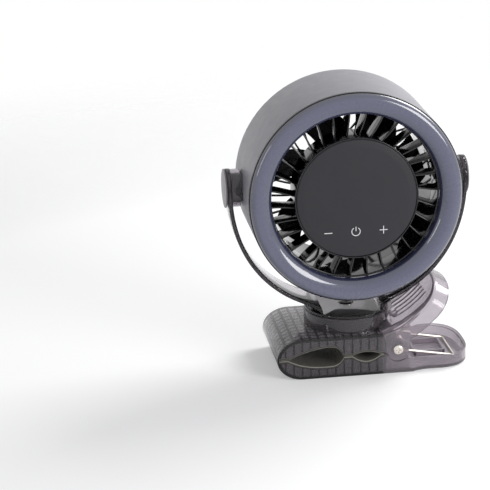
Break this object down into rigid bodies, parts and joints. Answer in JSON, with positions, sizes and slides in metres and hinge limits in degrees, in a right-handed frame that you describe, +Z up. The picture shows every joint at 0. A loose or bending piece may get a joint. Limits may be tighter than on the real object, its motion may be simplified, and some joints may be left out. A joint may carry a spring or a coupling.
{
  "type": "clip fan",
  "caption": "Clip-on fan with a ring light: a spring clamp carries a swivelling yoke and a tilting drum head with vaned guards and a bladed impeller.",
  "frame": {"origin": "on the underside of the lower jaw, under the swivel axis of the yoke", "axes": "+X from the clamp's nose to its handles, -Y out of the fan's face (the air blows towards -Y), +Z up along the swivel axis"},
  "size_m": [0.1736, 0.0818, 0.2095],
  "materials": {
    "smoke_plastic": "polished, smoke-tinted clear plastic",
    "pad_rubber": "soft, matt",
    "nickel_wire": "nickel-plated wire",
    "steel": "plated steel",
    "black_plastic": "glossy black moulding",
    "cap_plastic": "smooth grey",
    "grey_plastic": "satin grey moulding",
    "diffuser_plastic": "glossy frosted blue-grey",
    "lamp_white": "white board with lamps",
    "panel_plastic": "matt dark grey",
    "bezel_plastic": "glossy dark edge",
    "circuit_board": "green circuit board",
    "cell_sleeve": "shrink-sleeved cell",
    "copper_winding": "enamelled copper"
  },
  "bodies": {
    "lower_clamp": {"lower_jaw": "smoke_plastic", "lower_pad": "pad_rubber", "hinge_pin": "steel", "hinge_sleeve": "black_plastic", "hinge_screw_front": "steel", "hinge_screw_back": "steel", "torsion_spring": "nickel_wire"},
    "upper_clamp": {"upper_jaw": "smoke_plastic", "upper_pad": "pad_rubber", "swivel_disc": "black_plastic", "swivel_screw": "steel"},
    "yoke": {"yoke": "smoke_plastic", "pivot_cap_left": "cap_plastic", "pivot_cap_right": "cap_plastic"},
    "head": {"pivot_hub_left": "black_plastic", "pivot_hub_right": "black_plastic", "pivot_screw_left": "steel", "pivot_screw_right": "steel", "drum_housing": "grey_plastic", "light_diffuser": "diffuser_plastic", "lamp_board": "lamp_white", "front_grille": "black_plastic", "air_duct": "black_plastic", "rear_grille": "black_plastic", "control_panel": "panel_plastic", "panel_bezel": "bezel_plastic", "control_board": "circuit_board", "battery_cell_upper": "cell_sleeve", "battery_cell_lower": "cell_sleeve", "charging_port": "steel", "charging_board": "circuit_board", "motor_stator": "copper_winding", "bearing_front": "steel", "bearing_back": "steel"},
    "fan": {"impeller": "black_plastic", "rotor_cup": "steel", "motor_shaft": "steel"}
  },
  "joints": [
    {"name": "clamp_hinge", "type": "hinge", "parent": "lower_clamp", "child": "upper_clamp", "pos_m": [0.0313, 0, 0.0173], "axis": [0, 1, 0], "range_deg": [0, 35], "stiffness_Nm_per_rad": 1.5, "springref_deg": -40.11, "deforming": ["torsion_spring"]},
    {"name": "base_swivel", "type": "hinge", "parent": "upper_clamp", "child": "yoke", "pos_m": [0, 0, 0.0409], "axis": [0, 0, 1], "continuous": true},
    {"name": "head_tilt", "type": "hinge", "parent": "yoke", "child": "head", "pos_m": [0, 0, 0.1345], "axis": [1, 0, 0], "range_deg": [-90, 45]},
    {"name": "fan_spin", "type": "hinge", "parent": "head", "child": "fan", "pos_m": [0, 0, 0.1345], "axis": [0, 1, 0], "continuous": true}
  ]
}
